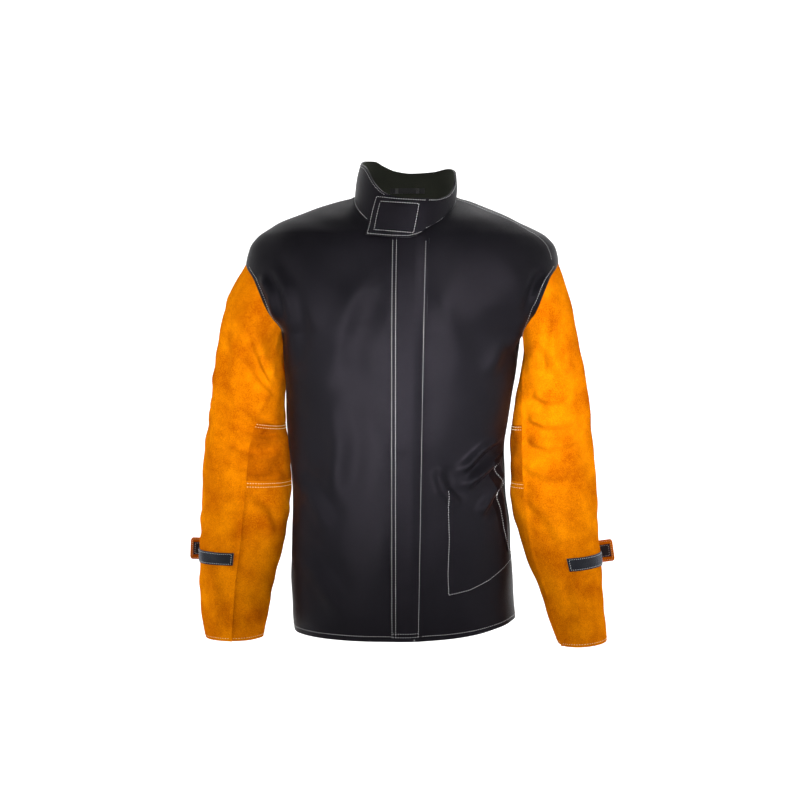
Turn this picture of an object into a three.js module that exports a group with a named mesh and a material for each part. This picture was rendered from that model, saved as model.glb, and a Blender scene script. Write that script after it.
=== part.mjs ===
// Welding jacket: black flame-resistant cotton body, split-leather sleeves, stand collar.
// It is modelled as it hangs on an upright wearer. Millimetres, +Z up, the front faces -Y and
// the wearer's left is +X. The origin is on the centre plane, level with the front of the neck seam.
import * as THREE from "three";

// ---- Driving dimensions -------------------------------------------------------------------
const COTTON = 1.2; // thickness of one layer of the body cloth
const LEATHER = 1.6; // thickness of the sleeve leather
const TAPE = 1.4; // thickness of hook or loop tape
const GAP = 0.4; // clear space between pieces that are sewn together

const HEM_Z = -674;
const ARMPIT_Z = -165;
const SEAM_Y = -8; // depth of the side seams and shoulder seams
const NECK = { x: 6, halfWidth: 85, halfDepth: 88, y: -14, top: 66 };
const COLLAR = { topX: 8, topHalfWidth: 80, topHalfDepth: 80, topY: -16, lean: 7 };
const FLAP = { freeX: -12, seamTopX: 50, seamHemX: 39, top: -5, bottom: -668, standOff: 5 };
const UNDERLAP_X = 27; // how far the right front runs under the storm flap
const FACING_WIDTH = 62;
const SNAP = { x: 8, radius: 6.5, levels: [-70, -205, -340, -475, -610] };
const ELBOW = 0.5; // place along the sleeve of the elbow crease
const PATCH = { from: 0.41, to: 0.59 }; // the elbow patch of the under sleeve
const STRAP_AT = 0.805; // place along the sleeve of the cuff strap's centre line
const STRAP = { height: 38, tapeHeight: 22, leaves: -50, freeLength: 54, tapeStart: 19, tapeLength: 30 };
const POCKET = { innerX: 72, top: -376, bottom: -600, depth: 20 };

const degrees = THREE.MathUtils.degToRad;
const clamp = THREE.MathUtils.clamp;
const mix = THREE.MathUtils.lerp;
const v3 = (x, y, z) => new THREE.Vector3(x, y, z);

// ---- Materials ----------------------------------------------------------------------------
const cloth = (color, roughness) => new THREE.MeshStandardMaterial({ color, roughness, metalness: 0 });
const MATERIAL = {
  cotton: cloth(0x17171b, 0.8),
  lining: cloth(0x10110d, 0.9),
  leather: cloth(0xe88a08, 0.95),
  tape: cloth(0x111216, 0.95),
  webbing: cloth(0x141414, 0.9),
  metal: new THREE.MeshStandardMaterial({ color: 0x9a9a98, roughness: 0.35, metalness: 1 }),
};

const jacket = new THREE.Group();
function add(name, geometry, material) {
  const mesh = new THREE.Mesh(geometry, material);
  mesh.name = name;
  jacket.add(mesh);
  return mesh;
}

// ---- Curves and sheets --------------------------------------------------------------------
// A smooth function through [at, value] pairs in rising order, with no overshoot between them.
function profile(pairs) {
  const slopes = pairs.map((_, i) => {
    if (i === 0 || i === pairs.length - 1) return 0;
    const [[t0, a], [t1, b], [t2, c]] = pairs.slice(i - 1, i + 2);
    const before = (b - a) / (t1 - t0);
    const after = (c - b) / (t2 - t1);
    return before * after <= 0 ? 0 : (2 * before * after) / (before + after);
  });
  return (t) => {
    const at = clamp(t, pairs[0][0], pairs.at(-1)[0]);
    const i = clamp(pairs.findIndex(([p]) => p >= at), 1, pairs.length - 1);
    const [[t0, a], [t1, b]] = [pairs[i - 1], pairs[i]];
    const span = t1 - t0;
    const u = (at - t0) / span;
    const m0 = slopes[i - 1] * span;
    const m1 = slopes[i] * span;
    return a + u * (m0 + u * (3 * (b - a) - 2 * m0 - m1 + u * (m0 + m1 - 2 * (b - a))));
  };
}

// The value of t between low and high where f changes sign.
function root(f, low, high) {
  const rising = f(high) > 0;
  for (let i = 0; i < 50; i++) {
    const middle = (low + high) / 2;
    if (f(middle) > 0 === rising) high = middle;
    else low = middle;
  }
  return (low + high) / 2;
}

// A closed solid between two skins. at(u, v) gives { point, normal } on the base surface, and
// skins(u, v) gives the offsets of the two skins along the normal, in either order.
function sheet(at, columns, rows, skins) {
  const positions = [];
  const index = [];
  const stride = columns.length * rows.length;
  for (const side of [0, 1]) {
    for (const v of rows) {
      for (const u of columns) {
        const { point, normal } = at(u, v);
        positions.push(...point.clone().addScaledVector(normal, skins(u, v)[side]).toArray());
      }
    }
  }
  const id = (side, i, j) => side * stride + j * columns.length + i;
  const quad = (a, b, c, d) => index.push(a, b, c, a, c, d);
  const [lastI, lastJ] = [columns.length - 1, rows.length - 1];
  for (let j = 0; j < lastJ; j++) {
    for (let i = 0; i < lastI; i++) {
      quad(id(1, i, j), id(1, i + 1, j), id(1, i + 1, j + 1), id(1, i, j + 1));
      quad(id(0, i, j), id(0, i, j + 1), id(0, i + 1, j + 1), id(0, i + 1, j));
    }
  }
  for (let i = 0; i < lastI; i++) {
    quad(id(0, i, 0), id(0, i + 1, 0), id(1, i + 1, 0), id(1, i, 0));
    quad(id(1, i, lastJ), id(1, i + 1, lastJ), id(0, i + 1, lastJ), id(0, i, lastJ));
  }
  for (let j = 0; j < lastJ; j++) {
    quad(id(1, 0, j), id(1, 0, j + 1), id(0, 0, j + 1), id(0, 0, j));
    quad(id(0, lastI, j), id(0, lastI, j + 1), id(1, lastI, j + 1), id(1, lastI, j));
  }
  const geometry = new THREE.BufferGeometry();
  geometry.setAttribute("position", new THREE.Float32BufferAttribute(positions, 3));
  geometry.setIndex(volumeOf(positions, index) < 0 ? index.reverse() : index);
  geometry.computeVertexNormals();
  return geometry;
}

function volumeOf(positions, index) {
  const corner = (i) => new THREE.Vector3().fromArray(positions, 3 * index[i]);
  let sum = 0;
  for (let i = 0; i < index.length; i += 3) {
    sum += corner(i).dot(corner(i + 1).cross(corner(i + 2)));
  }
  return sum;
}

const steps = (from, to, count) => Array.from({ length: count + 1 }, (_, i) => mix(from, to, i / count));

// ---- The body's surface -------------------------------------------------------------------
// Each level is a rounded box outline: half widths to the wearer's right and left, a front and a
// back depth, and the roundness of its corners. Above the armpit the outline runs on past the
// armhole, where the sleeve takes over.
const SHOULDER_SLOPE = [
  [-85, 270], [-60, 269], [-45, 268], [-20, 262], [0, 246], [17, 216], [27, 192], [38, 165], [48, 141],
];
const halfWidthRight = profile([
  [-700, 184], [-640, 189], [-560, 189], [-437, 188], [-350, 194], [-250, 199],
  [-190, 201], [-165, 203], [-140, 228], [-110, 262], ...SHOULDER_SLOPE, [58, 109], [66, 81],
]);
const halfWidthLeft = profile([
  [-700, 197], [-640, 194], [-560, 190], [-500, 186], [-437, 180], [-350, 177], [-280, 184],
  [-220, 194], [-165, 203], [-140, 228], [-110, 262], ...SHOULDER_SLOPE, [58, 116], [66, 92],
]);
const frontDepth = profile([
  [-700, 134], [-560, 138], [-350, 141], [-165, 138], [-100, 131], [-45, 119],
  [0, 102], [20, 84], [35, 66], [50, 44], [60, 26], [66, 15],
]);
const backDepth = profile([
  [-700, 112], [-560, 114], [-350, 112], [-165, 120], [-100, 118], [-45, 111],
  [0, 101], [35, 90], [55, 80], [66, 74],
]);
const roundness = profile([[-700, 2.5], [-165, 2.6], [-45, 2.5], [20, 2.3], [66, 2]]);
const armholeX = profile([[-165, 203], [-125, 225], [-75, 248], [-45, 268]]);
const hemRise = (x, z) => 22 * clamp(x / 190, 0, 1) ** 2 * clamp(1 - (z - HEM_Z) / 200, 0, 1) ** 2;

const halfWidth = (x, z) => (x < 0 ? halfWidthRight(z) : halfWidthLeft(z));

// 1 on the surface, less inside, more outside.
function bodyLevel(x, y, z) {
  const n = roundness(z);
  const depth = y < SEAM_Y ? frontDepth(z) + SEAM_Y : backDepth(z) - SEAM_Y;
  return Math.abs(x / halfWidth(x, z)) ** n + Math.abs((y - SEAM_Y) / depth) ** n;
}

// The point of the body at a level. turn is -90 to 90 degrees, from the wearer's right to left.
function bodyPoint(turn, z, back = false) {
  const side = Math.sign(turn) || 1;
  const share = Math.sin(Math.abs(turn));
  const x = side * share * halfWidth(turn, z);
  const n = roundness(z);
  const depth = back ? backDepth(z) - SEAM_Y : -frontDepth(z) - SEAM_Y;
  const y = SEAM_Y + depth * Math.max(0, 1 - share ** n) ** (1 / n);
  const step = 0.5;
  const gx = bodyLevel(x + step, y, z) - bodyLevel(x - step, y, z);
  const gy = bodyLevel(x, y + step, z) - bodyLevel(x, y - step, z);
  const gz = bodyLevel(x, y, z + step) - bodyLevel(x, y, z - step);
  return { point: v3(x, y, z + hemRise(x, z)), normal: v3(gx, gy, gz).normalize() };
}

// The turn at which the body reaches a distance x from the centre plane.
const turnTo = (x, z) => Math.asin(clamp(x / halfWidth(x, z), -1, 1));

// The side edge of a body panel, at the side seam or the armhole, on one side of the wearer.
const SEAM_ROOM = 0.5;
function sideTurn(side, z, inset = 0) {
  const seam = Math.PI / 2 - SEAM_ROOM / halfWidth(side, z);
  const edge = Math.min(seam, Math.abs(turnTo(side * (halfWidth(side, z) - inset), z)));
  if (z <= ARMPIT_Z || z >= -45) return side * edge;
  return side * Math.min(edge, Math.abs(turnTo(side * (armholeX(z) - SEAM_ROOM), z)));
}

// Where the front meets the neck seam at a level above the front of the neck.
const insideNeck = (p) => ((p.x - NECK.x) / NECK.halfWidth) ** 2 + ((p.y - NECK.y) / NECK.halfDepth) ** 2 - 1;
function neckTurn(z, side) {
  const centre = turnTo(NECK.x, z);
  if (z <= 0) return centre;
  const turn = (share) => mix(centre, (side * Math.PI) / 2, share);
  return turn(root((share) => insideNeck(bodyPoint(turn(share), z).point), 0, 1));
}

const LEVELS = [
  HEM_Z, -640, -560, -500, -437, -390, -350, -315, -280, -250, -220, -190, ARMPIT_Z,
  -152, -140, -125, -110, -85, -60, -45, -30, -15, 0, 12, 24, 36, 48, 58,
];
const levelsUpTo = (top) => [...LEVELS.filter((z) => z < top - 1), top];

// A body panel: from(z) and to(z) are its edges as turns, at every level up to top.
function bodyPanel(name, from, to, columns, top, skins, { back = false, bottom = HEM_Z } = {}) {
  const rows = levelsUpTo(top).filter((z) => z > bottom + 1 || z === bottom);
  if (rows[0] !== bottom) rows.unshift(bottom);
  const at = (u, z) => bodyPoint(mix(from(z), to(z), u), z, back);
  add(name, sheet(at, steps(0, 1, columns), rows, skins), MATERIAL.cotton);
}
const single = () => [-COTTON, 0];

// ---- Front and back panels ----------------------------------------------------------------
const SHOULDER_TOP = 60;
const rightEdge = (z) => (z > -4 ? neckTurn(z, -1) - 0.01 : turnTo(UNDERLAP_X, z));
bodyPanel("right_front_panel", (z) => sideTurn(-1, z), rightEdge, 12, SHOULDER_TOP, single);

// The left front swings open on a fold from the side of the neck to the hem. It is one piece of
// cloth, held as a side zone, the zone that folds, and the zone that swings.
const FOLD = { topX: 62, hemX: 118, topHalf: 11, hemHalf: 34, top: 20 };
const foldShare = (z) => (z - HEM_Z) / (FOLD.top - HEM_Z);
const foldX = (z) => mix(FOLD.hemX, FOLD.topX, foldShare(z));
const foldHalf = (z) => mix(FOLD.hemHalf, FOLD.topHalf, foldShare(z));
const flapSeamX = (z) => mix(FLAP.seamHemX, FLAP.seamTopX, (z - HEM_Z) / -HEM_Z);
const cut = 0.4;
const afterNeck = (x) => (z) => Math.max(turnTo(x(z), z), neckTurn(z, 1) + 0.01);

// The slanted pocket mouth takes a strip off the side of the left front.
const pocketMouth = profile([[-552, 0], [-530, 9], [-492, 17], [-436, 21], [-376, 24], [-356, 0]]);
bodyPanel(
  "left_front_side_panel",
  afterNeck((z) => foldX(z) + foldHalf(z) + cut),
  (z) => sideTurn(1, z, pocketMouth(z)),
  6, SHOULDER_TOP, single,
);
bodyPanel(
  "left_front_fold_panel",
  afterNeck((z) => foldX(z) - foldHalf(z) + cut),
  afterNeck((z) => foldX(z) + foldHalf(z) - cut),
  3, 36, single,
);
bodyPanel(
  "left_front_edge_panel",
  afterNeck((z) => flapSeamX(z) - 5),
  afterNeck((z) => foldX(z) - foldHalf(z) - cut),
  3, 0, single,
);
bodyPanel(
  "back_panel",
  (z) => sideTurn(-1, z),
  (z) => sideTurn(1, z),
  20, NECK.top, single, { back: true },
);

// ---- Facings, inside the two front edges --------------------------------------------------
const inner = () => [-2 * COTTON - GAP, -COTTON - GAP];
bodyPanel(
  "right_front_facing",
  (z) => turnTo(UNDERLAP_X - FACING_WIDTH, z),
  (z) => turnTo(UNDERLAP_X - 1, z),
  3, -12, inner, { bottom: -664 },
);
bodyPanel(
  "left_front_facing",
  (z) => turnTo(flapSeamX(z) - 4, z),
  (z) => turnTo(Math.min(flapSeamX(z) + 26, foldX(z) - foldHalf(z) - 2), z),
  2, -40, inner, { bottom: -664 },
);

// ---- Storm flap ---------------------------------------------------------------------------
// The flap's sewn margin stays on the left front. The free part is two layers, which stand off
// the front by the height of the snaps and swing on the seam.
const FLAP_MARGIN = 15;
const flapTurn = (x) => (z) => turnTo(x(z), z);
const standOff = profile([[0, 0.3], [FLAP_MARGIN, FLAP.standOff]]);
const flapLift = (u) => standOff(mix(FLAP_MARGIN, 0, u));
bodyPanel(
  "storm_flap_margin",
  flapTurn((z) => flapSeamX(z) - FLAP_MARGIN + 0.4),
  flapTurn(flapSeamX),
  3, FLAP.top, (u) => [flapLift(u), flapLift(u) + COTTON], { bottom: FLAP.bottom },
);
const flapFrom = flapTurn(() => FLAP.freeX);
const flapTo = flapTurn((z) => flapSeamX(z) - FLAP_MARGIN - 0.4);
bodyPanel(
  "storm_flap", flapFrom, flapTo, 3, FLAP.top,
  () => [FLAP.standOff, FLAP.standOff + COTTON], { bottom: FLAP.bottom },
);
bodyPanel(
  "storm_flap_lining",
  flapTurn(() => FLAP.freeX + 2), flapTo, 3, FLAP.top - 4,
  () => [FLAP.standOff - GAP - 1, FLAP.standOff - GAP], { bottom: FLAP.bottom + 4 },
);

// ---- Snaps --------------------------------------------------------------------------------
// A stud on the right front stands inside the ring of a socket under the flap.
function snapPiece(name, z, outline, lift) {
  const { point, normal } = bodyPoint(turnTo(SNAP.x, z), z);
  const turned = new THREE.LatheGeometry(outline.map(([r, h]) => new THREE.Vector2(r, h)), 16);
  const mesh = add(name, turned, MATERIAL.metal);
  mesh.position.copy(point).addScaledVector(normal, lift);
  mesh.quaternion.setFromUnitVectors(v3(0, 1, 0), normal);
}
const STUD = [[0, 0], [SNAP.radius, 0], [SNAP.radius, 0.9], [2, 0.9], [2, 2.1], [0, 2.1]];
const SOCKET = [[4.3, 0], [SNAP.radius, 0], [SNAP.radius, 1.4], [4.3, 1.4], [4.3, 0]];
SNAP.levels.forEach((z, i) => {
  snapPiece(`snap_stud_${i + 1}`, z, STUD, 0.5);
  snapPiece(`snap_socket_${i + 1}`, z, SOCKET, 1.8);
});

// ---- Collar -------------------------------------------------------------------------------
// turn 0 is the centre front and 90 degrees is the wearer's left. It stands highest at the sides.
const collarHeight = profile([[0, 66], [60, 62], [90, 63], [130, 54], [180, 46]]);
function collarPoint(turn, share) {
  const [s, c] = [Math.sin(turn), Math.cos(turn)];
  const bx = NECK.x + NECK.halfWidth * s;
  const by = NECK.y - NECK.halfDepth * c;
  const base = c > 0 ? root((z) => bodyLevel(bx, by, z) - 1, -6, NECK.top) : NECK.top;
  const height = collarHeight(Math.abs(turn) * (180 / Math.PI)) - COLLAR.lean * s;
  return v3(
    mix(bx, COLLAR.topX + COLLAR.topHalfWidth * s, share),
    mix(by, COLLAR.topY - COLLAR.topHalfDepth * c, share),
    base + 1.8 + height * share,
  );
}
function collarAt(turn, share) {
  const step = 0.01;
  const along = collarPoint(turn + step, share).sub(collarPoint(turn - step, share));
  const up = collarPoint(turn, 1).sub(collarPoint(turn, 0));
  return { point: collarPoint(turn, share), normal: along.cross(up).normalize() };
}
function collarPiece(name, from, to, columns, skins, material, low = 0, high = 1) {
  const at = (u, share) => collarAt(degrees(mix(from, to, u)), share);
  add(name, sheet(at, steps(0, 1, columns), steps(low, high, 3), skins), material);
}
const COLLAR_FOLD = { from: 34, to: 56 };
const collarLining = () => [-GAP - COTTON, -GAP];
const collarOuter = () => [0, COTTON];
const tabLayer = () => [2 * TAPE + COTTON + 0.9, 2 * TAPE + 2 * COTTON + 0.9];
collarPiece("right_collar", -180, 14, 20, collarOuter, MATERIAL.cotton);
collarPiece("right_collar_lining", -180, 14, 20, collarLining, MATERIAL.lining, 0.02, 0.98);
collarPiece("left_collar_back", COLLAR_FOLD.to, 179.5, 12, collarOuter, MATERIAL.cotton);
collarPiece("left_collar_back_lining", COLLAR_FOLD.to, 179.5, 12, collarLining, MATERIAL.lining, 0.02, 0.98);
collarPiece("left_collar_front", 15, COLLAR_FOLD.from, 3, collarOuter, MATERIAL.cotton);
collarPiece("left_collar_front_lining", 15, COLLAR_FOLD.from, 3, collarLining, MATERIAL.lining, 0.02, 0.98);
collarPiece(
  "left_collar_fold",
  COLLAR_FOLD.from + 0.6, COLLAR_FOLD.to - 0.6, 3, collarOuter, MATERIAL.cotton,
);

// The tab closes over the right collar with hook tape on loop tape.
const TAB = { from: -41, to: 22 };
collarPiece("collar_tab", TAB.from, TAB.to, 9, tabLayer, MATERIAL.cotton, 0, 1);
const tabTape = { from: -36, to: 10, low: 0.12, high: 0.88 };
const hookSkins = () => [TAPE + COTTON + 0.6, 2 * TAPE + COTTON + 0.6];
const loopSkins = () => [COTTON + 0.3, COTTON + TAPE + 0.3];
for (const [name, skins] of [["collar_hook_tape", hookSkins], ["collar_loop_tape", loopSkins]]) {
  collarPiece(name, tabTape.from, tabTape.to, 7, skins, MATERIAL.tape, tabTape.low, tabTape.high);
}

// ---- Hanger loop, inside the back of the collar -------------------------------------------
const LOOP = { halfWidth: 20, clear: 11, height: 9, thickness: 1.6 };
function hangerLoop() {
  const wall = collarPoint(Math.PI, 0.2).y - 2 * COTTON - 7;
  const { halfWidth: w, clear: c, thickness: t } = LOOP;
  const outline = [
    [-w - 10, 0], [-w, 0], [-w + 6, -c], [w - 6, -c], [w, 0], [w + 10, 0],
    [w + 10, -t], [w + 1, -t], [w - 5, -c - t], [-w + 5, -c - t], [-w - 1, -t], [-w - 10, -t],
  ];
  const shape = new THREE.Shape(outline.map(([x, y]) => new THREE.Vector2(x, y)));
  const band = new THREE.ExtrudeGeometry(shape, { depth: LOOP.height, bevelEnabled: false });
  const mesh = add("hanger_loop", band, MATERIAL.webbing);
  mesh.position.set(NECK.x, wall, NECK.top + 8);
}
hangerLoop();

// ---- Pocket bag, inside the left front ----------------------------------------------------
// It is sewn to the front along its inner edge, bottom and top, and its outer edge reaches the
// side seam, behind the slanted mouth.
function pocketBag() {
  const rows = [POCKET.bottom, -575, -530, -492, -436, -400, POCKET.top];
  const hollow = (u, z) => {
    const across = Math.min(clamp(u * 4, 0, 1), clamp((1 - u) * 4, 0, 1));
    const up = clamp((z - POCKET.bottom) / 30, 0, 1);
    return 4 * COTTON + 1 + POCKET.depth * Math.sin((Math.PI / 2) * Math.min(across, up));
  };
  const at = (u, z) => bodyPoint(turnTo(mix(POCKET.innerX, halfWidthLeft(z) - 6, u), z), z);
  const skins = (u, z) => [-hollow(u, z) - COTTON, -hollow(u, z)];
  add("pocket_bag", sheet(at, steps(0, 1, 8), rows, skins), MATERIAL.lining);
}
pocketBag();

// ---- Sleeves ------------------------------------------------------------------------------
// Each sleeve is a run of ovals between an outer line and an inner line, seen from the front.
// Rows are [place along the sleeve, outer x, outer z, inner x, inner z], with x from the centre plane.
const DEPTH = profile([
  [0, 82], [0.1, 84], [0.25, 82], [0.4, 76], [0.5, 73], [0.62, 70], [0.75, 65], [0.88, 59], [1, 53],
]);
const CENTRE_Y = profile([
  [0, -8], [0.1, -4], [0.25, 4], [0.4, 12], [0.5, 14], [0.62, 10], [0.75, 2], [0.88, -8], [1, -18],
]);
const SLEEVES = {
  right: {
    side: -1,
    lines: [
      [0, 268, -45, 203, -165], [0.1, 296, -105, 206, -195], [0.25, 315, -200, 207, -250],
      [0.4, 331, -290, 206, -318], [0.5, 340, -352, 200, -366], [0.62, 347, -430, 194, -437],
      [0.75, 352, -515, 201, -515], [0.88, 350, -600, 219, -597], [1, 340, -690, 238, -690],
    ],
    frontSeam: [[0, 150], [0.25, 140], [0.4, 112], [0.5, 98], [0.62, 93], [1, 90]],
  },
  left: {
    side: 1,
    lines: [
      [0, 268, -45, 203, -165], [0.1, 288, -110, 206, -195], [0.25, 305, -203, 201, -250],
      [0.4, 319, -290, 192, -318], [0.5, 327, -350, 187, -366], [0.62, 334, -430, 186, -437],
      [0.75, 340, -515, 203, -522], [0.88, 347, -600, 236, -610], [1, 353, -690, 268, -696],
    ],
    frontSeam: [[0, 155], [0.25, 150], [0.4, 138], [0.5, 132], [0.62, 132], [1, 142]],
  },
};
const UNDER_SLEEVE = 128; // degrees of the oval that the under sleeve takes

for (const sleeve of Object.values(SLEEVES)) {
  const [ox, oz, ix, iz] = [1, 2, 3, 4].map((k) => profile(sleeve.lines.map((row) => [row[0], row[k]])));
  sleeve.outer = (s) => v3(sleeve.side * ox(s), CENTRE_Y(s), oz(s));
  sleeve.inner = (s) => v3(sleeve.side * ix(s), CENTRE_Y(s), iz(s));
  sleeve.seam = profile(sleeve.frontSeam);
}

// A point of the sleeve: turn 0 is the outer line, 90 the front, 180 the inner line, 270 the back.
function sleevePoint(sleeve, s, turn) {
  const [c, f] = [Math.cos(turn), Math.sin(turn)];
  const [outer, innerEnd] = [sleeve.outer(s), sleeve.inner(s)];
  const oval = outer.clone().add(innerEnd).multiplyScalar(0.5);
  oval.addScaledVector(outer.clone().sub(innerEnd), c / 2);
  oval.y -= DEPTH(s) * f;
  const ringShare = clamp(1 - s / 0.12, 0, 1);
  if (ringShare === 0) return oval;
  const z = mix(ARMPIT_Z, -45, (1 + c) / 2);
  const rim = bodyPoint(turnTo(sleeve.side * armholeX(z), z), z, f < 0).point;
  const start = sleevePointAtRim(sleeve, rim, outer, innerEnd, c);
  return oval.lerp(start, ringShare ** 2 * (3 - 2 * ringShare));
}
const RIM_ROOM = 4;
// The armhole's own outline, carried along the sleeve so that the first ovals grow out of it.
function sleevePointAtRim(sleeve, rim, outer, innerEnd, c) {
  const across = outer.clone().sub(innerEnd);
  const middle = outer.clone().add(innerEnd).multiplyScalar(0.5).addScaledVector(across, c / 2);
  middle.x += sleeve.side * RIM_ROOM;
  const first = sleeve.outer(0).add(sleeve.inner(0)).multiplyScalar(0.5)
    .addScaledVector(sleeve.outer(0).sub(sleeve.inner(0)), c / 2);
  return middle.add(rim.sub(first));
}
function sleeveAt(sleeve, s, turn) {
  const a = 0.02;
  const b = 0.004;
  const round = sleevePoint(sleeve, s, turn + a).sub(sleevePoint(sleeve, s, turn - a));
  const low = Math.max(0, s - b);
  const along = sleevePoint(sleeve, Math.min(1, s + b), turn).sub(sleevePoint(sleeve, low, turn));
  return {
    point: sleevePoint(sleeve, s, turn),
    normal: round.cross(along).multiplyScalar(sleeve.side).normalize(),
  };
}
function sleevePiece(name, sleeve, from, to, columns, rows, skins, material) {
  const at = (u, s) => sleeveAt(sleeve, s, degrees(mix(from(s), to(s), u)));
  add(name, sheet(at, steps(0, 1, columns), rows, skins), material);
}
const hide = () => [-LEATHER, 0];

function makeSleeve(word) {
  const sleeve = SLEEVES[word];
  const seam = sleeve.seam;
  const slot = 0.9; // degrees left open at each long seam
  const outerFrom = (s) => seam(s) + UNDER_SLEEVE - 360 + slot;
  const outerTo = (s) => seam(s) - slot;
  const underFrom = (s) => seam(s) + slot;
  const underTo = (s) => seam(s) + UNDER_SLEEVE - slot;
  const end = 0.002;
  const upper = [0.012, 0.05, 0.1, 0.16, 0.24, 0.33, PATCH.from, ELBOW - end];
  const lower = [ELBOW + end, PATCH.to, 0.69, 0.78, 0.88, 1];
  sleevePiece(`${word}_sleeve_upper`, sleeve, outerFrom, outerTo, 10, upper, hide, MATERIAL.leather);
  sleevePiece(`${word}_sleeve_lower`, sleeve, outerFrom, outerTo, 10, lower, hide, MATERIAL.leather);
  sleevePiece(
    `${word}_under_sleeve_upper`, sleeve, underFrom, underTo, 6,
    [...upper.slice(0, 6), PATCH.from - end], hide, MATERIAL.leather,
  );
  sleevePiece(
    `${word}_elbow_patch`, sleeve, underFrom, underTo, 6,
    [PATCH.from + end, 0.455, ELBOW, 0.545, PATCH.to - end], hide, MATERIAL.leather,
  );
  sleevePiece(
    `${word}_under_sleeve_lower`, sleeve, underFrom, underTo, 6,
    [PATCH.to + end, 0.69, 0.78, 0.88, 1], hide, MATERIAL.leather,
  );
  cuffStrap(word, sleeve);
}

// ---- Cuff straps --------------------------------------------------------------------------
// Loop tape runs across the front of the sleeve. The strap is sewn down behind the sleeve's outer
// line, and its free end stands out from there, with hook tape on the face that will meet the loop.
function cuffStrap(word, sleeve) {
  const length = sleeve.outer(1).distanceTo(sleeve.outer(0));
  const high = STRAP.height / 2 / length;
  const low = STRAP.tapeHeight / 2 / length;
  const rows = (h) => [STRAP_AT - h, STRAP_AT, STRAP_AT + h];
  sleevePiece(
    `${word}_cuff_loop_tape`, sleeve, () => 4, () => 78, 6, rows(low),
    () => [GAP, GAP + TAPE], MATERIAL.tape,
  );
  const base = degrees(STRAP.leaves);
  sleevePiece(
    `${word}_cuff_strap_base`, sleeve, () => STRAP.leaves - 36, () => STRAP.leaves, 4, rows(high),
    () => [GAP, GAP + LEATHER], MATERIAL.leather,
  );
  // The free end leaves the sleeve along its tangent.
  const { point, normal } = sleeveAt(sleeve, STRAP_AT, base);
  const below = sleevePoint(sleeve, STRAP_AT + 0.02, base);
  const up = sleevePoint(sleeve, STRAP_AT - 0.02, base).sub(below).normalize();
  const out = up.clone().cross(normal).multiplyScalar(-sleeve.side).normalize();
  const flat = new THREE.Matrix4().makeBasis(out, up, out.clone().cross(up));
  const plate = (name, length, height, thickness, start, lift, material) => {
    const mesh = add(name, new THREE.BoxGeometry(length, height, thickness), material);
    mesh.quaternion.setFromRotationMatrix(flat);
    mesh.position.copy(point).addScaledVector(out, start + length / 2).addScaledVector(normal, lift);
  };
  const middle = GAP + LEATHER / 2;
  plate(`${word}_cuff_strap`, STRAP.freeLength, STRAP.height, LEATHER, 2, middle, MATERIAL.leather);
  plate(
    `${word}_cuff_hook_tape`, STRAP.tapeLength, STRAP.tapeHeight, TAPE, STRAP.tapeStart,
    middle - (LEATHER + TAPE) / 2 - 0.3, MATERIAL.tape,
  );
}

makeSleeve("right");
makeSleeve("left");

export default jacket;
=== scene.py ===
import math

import bpy
import numpy as np
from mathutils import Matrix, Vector


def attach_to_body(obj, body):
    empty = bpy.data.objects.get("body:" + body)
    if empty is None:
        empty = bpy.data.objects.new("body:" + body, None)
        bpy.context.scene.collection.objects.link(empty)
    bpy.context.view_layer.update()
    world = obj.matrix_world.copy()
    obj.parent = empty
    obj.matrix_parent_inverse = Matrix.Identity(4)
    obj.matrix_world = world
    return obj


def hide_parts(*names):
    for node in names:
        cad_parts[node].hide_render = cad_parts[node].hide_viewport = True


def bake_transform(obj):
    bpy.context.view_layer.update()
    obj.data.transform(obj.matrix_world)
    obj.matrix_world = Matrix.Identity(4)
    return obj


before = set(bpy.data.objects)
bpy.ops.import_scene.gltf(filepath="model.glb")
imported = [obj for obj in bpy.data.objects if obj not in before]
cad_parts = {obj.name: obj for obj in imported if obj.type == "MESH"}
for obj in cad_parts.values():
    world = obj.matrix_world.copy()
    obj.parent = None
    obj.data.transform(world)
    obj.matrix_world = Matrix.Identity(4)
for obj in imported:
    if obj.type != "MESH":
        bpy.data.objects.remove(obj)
scene = bpy.context.scene
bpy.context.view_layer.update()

# ---- Camera ----
AIM = Vector((-0.0035, 0.0, -0.281))
CAMERA_AZIMUTH, CAMERA_ELEVATION, CAMERA_DISTANCE = math.radians(3.0), math.radians(4.5), 3.0
CAMERA_LENS, CAMERA_SENSOR = 78.5, 36


def add_camera():
    data = bpy.data.cameras.new("camera")
    data.lens = CAMERA_LENS
    data.sensor_width = CAMERA_SENSOR
    camera = bpy.data.objects.new("camera", data)
    flat = math.cos(CAMERA_ELEVATION)
    away = Vector((
        flat * math.sin(CAMERA_AZIMUTH), -flat * math.cos(CAMERA_AZIMUTH), math.sin(CAMERA_ELEVATION),
    ))
    camera.location = AIM + away * CAMERA_DISTANCE
    camera.rotation_euler = (-away).to_track_quat("-Z", "Y").to_euler()
    scene.collection.objects.link(camera)
    scene.camera = camera


add_camera()

# ---- Curves ----
MM = 0.001
COTTON_THICK, DOUBLE_COTTON, COLLAR_THICK, LEATHER_THICK, TAPE_THICK = 1.2, 2.4, 3.0, 1.7, 1.3


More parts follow.
